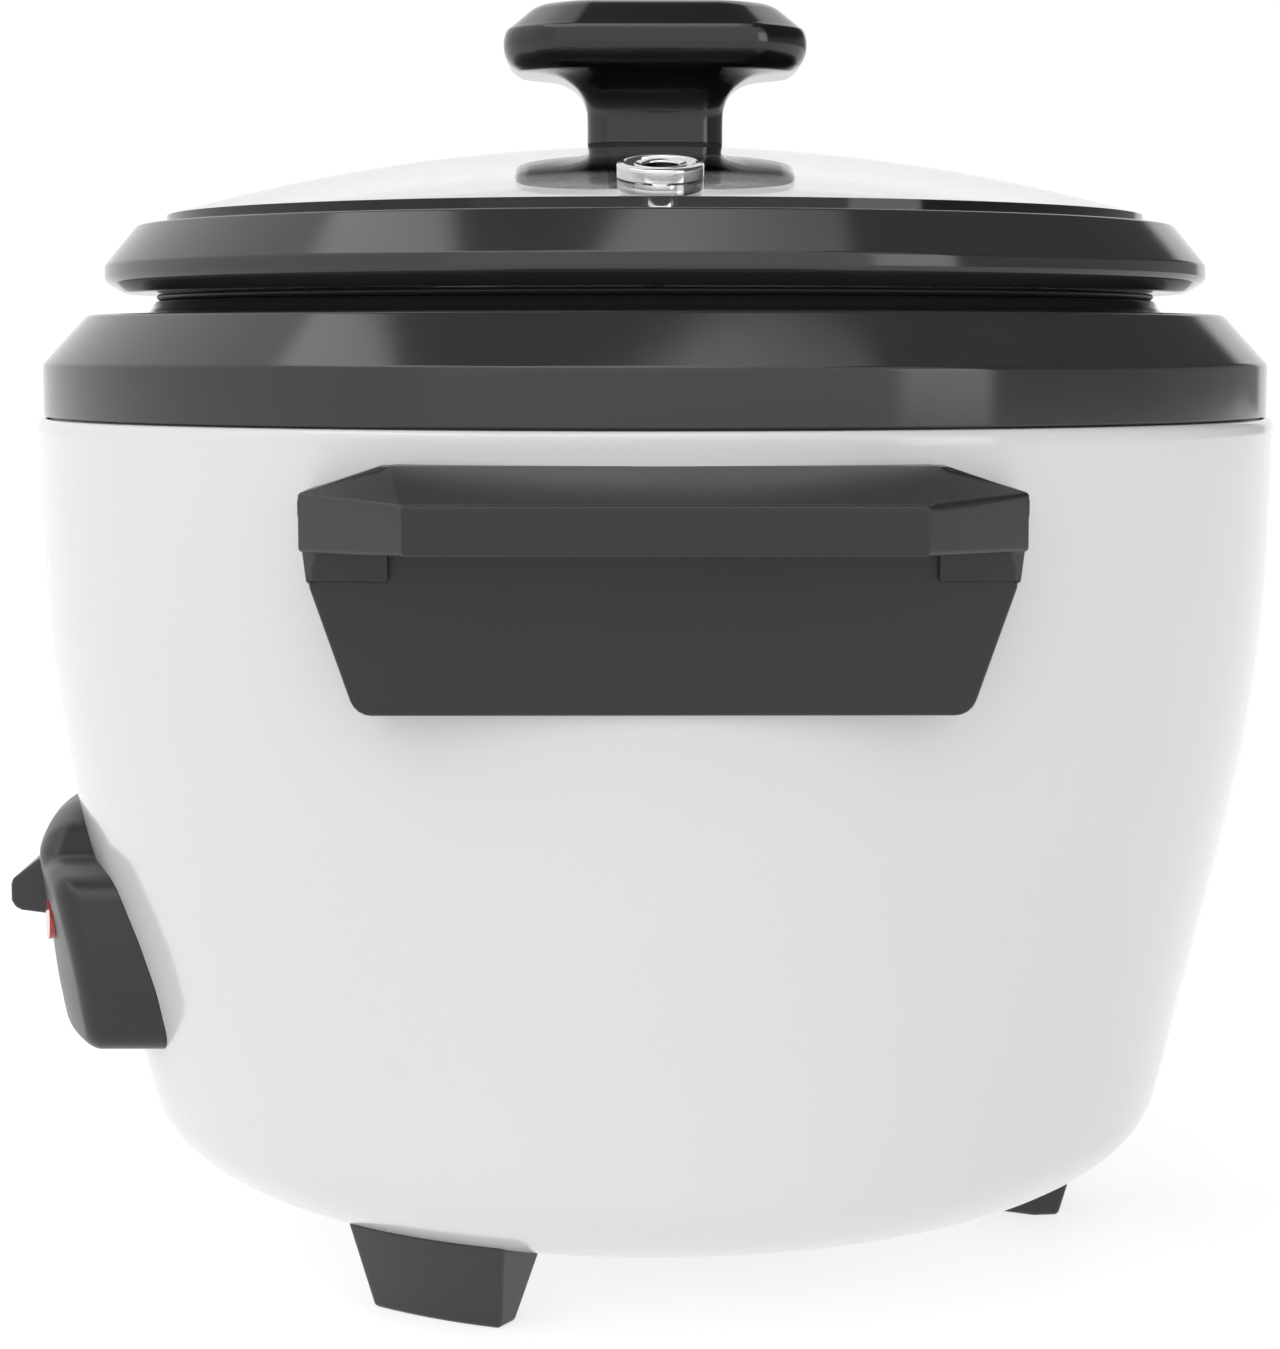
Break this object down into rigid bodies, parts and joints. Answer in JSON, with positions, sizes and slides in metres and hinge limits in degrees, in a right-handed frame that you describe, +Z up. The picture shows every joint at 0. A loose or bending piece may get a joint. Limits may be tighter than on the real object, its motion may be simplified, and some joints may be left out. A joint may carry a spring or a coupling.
{
  "type": "rice cooker",
  "caption": "Small round rice cooker with a glass lid, two side handles, a front lever switch, a lift-out pot and three feet.",
  "frame": {"origin": "on the cooker's vertical axis, in the plane of the tabletop that its three feet stand on", "axes": "+Z up; -Y is the front, where the lever switch is; the two handles lie along +X and -X; the power inlet is at +Y"},
  "size_m": [0.26, 0.2226, 0.2178],
  "materials": {
    "body_white": "gloss",
    "collar_charcoal": "satin",
    "zinc_plate": "satin",
    "foot_charcoal": "satin",
    "screw_steel": "satin",
    "handle_charcoal": "gloss",
    "housing_charcoal": "satin",
    "lens_red": "translucent gloss",
    "lens_amber": "translucent gloss",
    "lamp_glass": "clear",
    "liner_steel": "satin",
    "cast_aluminium": "turned satin",
    "element_sheath": "oxidised",
    "spacer_ceramic": "glazed",
    "guide_steel": "satin",
    "cap_aluminium": "satin",
    "ferrite": "matte",
    "spring_steel": "satin",
    "magnet_black": "matte",
    "knob_lever_charcoal": "satin",
    "phenolic": "matte",
    "contact_brass": "satin",
    "fuse_ceramic": "matte",
    "inlet_black": "satin",
    "wire_brown": "satin",
    "wire_blue": "satin",
    "wire_red": "satin",
    "wire_grey": "satin",
    "pot_coating": "non-stick coated",
    "lid_charcoal": "satin",
    "lid_glass": "clear polished",
    "vent_steel": "polished",
    "knob_black": "gloss",
    "gasket_rubber": "matte"
  },
  "bodies": {
    "base": {"body_shell": "body_white", "top_collar": "collar_charcoal", "base_plate": "zinc_plate", "foot_rear": "foot_charcoal", "foot_front_right": "foot_charcoal", "foot_front_left": "foot_charcoal", "foot_screws": "screw_steel", "base_screws": "screw_steel", "handle_right": "handle_charcoal", "handle_left": "handle_charcoal", "handle_screws": "screw_steel", "switch_housing": "housing_charcoal", "housing_screws": "screw_steel", "lamp_lens_cook": "lens_red", "lamp_lens_warm": "lens_amber", "indicator_lamps": "lamp_glass", "inner_liner": "liner_steel", "liner_screws": "screw_steel", "standoffs": "screw_steel", "standoff_screws": "screw_steel", "heating_plate": "cast_aluminium", "heating_element": "element_sheath", "plate_spacers": "spacer_ceramic", "plate_screws": "screw_steel", "sensor_guide": "guide_steel", "sensor_spring": "spring_steel", "lever_bracket": "guide_steel", "lever_pivot_pin": "screw_steel", "contact_block": "phenolic", "contact_leaves": "contact_brass", "thermal_fuse": "fuse_ceramic", "warm_resistor": "fuse_ceramic", "power_inlet": "inlet_black", "inlet_pins": "contact_brass", "live_wire": "wire_brown", "neutral_wire": "wire_blue", "heater_wire": "wire_red", "lamp_wires": "wire_grey"},
    "pot": {"inner_pot": "pot_coating"},
    "lid": {"lid_rim": "lid_charcoal", "lid_glass": "lid_glass", "steam_vent": "vent_steel", "lid_knob": "knob_black", "knob_gasket": "gasket_rubber", "knob_washer": "screw_steel", "knob_screw": "screw_steel"},
    "sensor": {"sensor_cap": "cap_aluminium", "sensor_ferrite": "ferrite"},
    "magnet": {"magnet_rod": "magnet_black", "release_spring": "spring_steel"},
    "lever": {"lever_arm": "guide_steel", "lever_knob": "knob_lever_charcoal"}
  },
  "joints": [
    {"name": "pot_lift", "type": "slide", "parent": "base", "child": "pot", "axis": [0, 0, 1], "range_m": [0, 0.12]},
    {"name": "lid_lift", "type": "slide", "parent": "pot", "child": "lid", "axis": [0, 0, 1], "range_m": [0, 0.12]},
    {"name": "sensor_plunge", "type": "slide", "parent": "base", "child": "sensor", "axis": [0, 0, 1], "range_m": [-0.001, 0], "stiffness_N_per_m": 300, "springref_m": 0.003, "deforming": ["sensor_spring"]},
    {"name": "lever_tilt", "type": "hinge", "parent": "base", "child": "lever", "pos_m": [0, -0.046, 0.034], "axis": [1, 0, 0], "range_deg": [0, 5.6], "stiffness_Nm_per_rad": 0.35, "springref_deg": -20.05},
    {"name": "magnet_lift", "type": "slide", "parent": "base", "child": "magnet", "axis": [0, 0, 1], "range_m": [0, 0.0045], "deforming": ["release_spring"]}
  ],
  "couplings": [
    {"joint": "magnet_lift", "follows": "lever_tilt", "m_per_rad": 0.046}
  ]
}
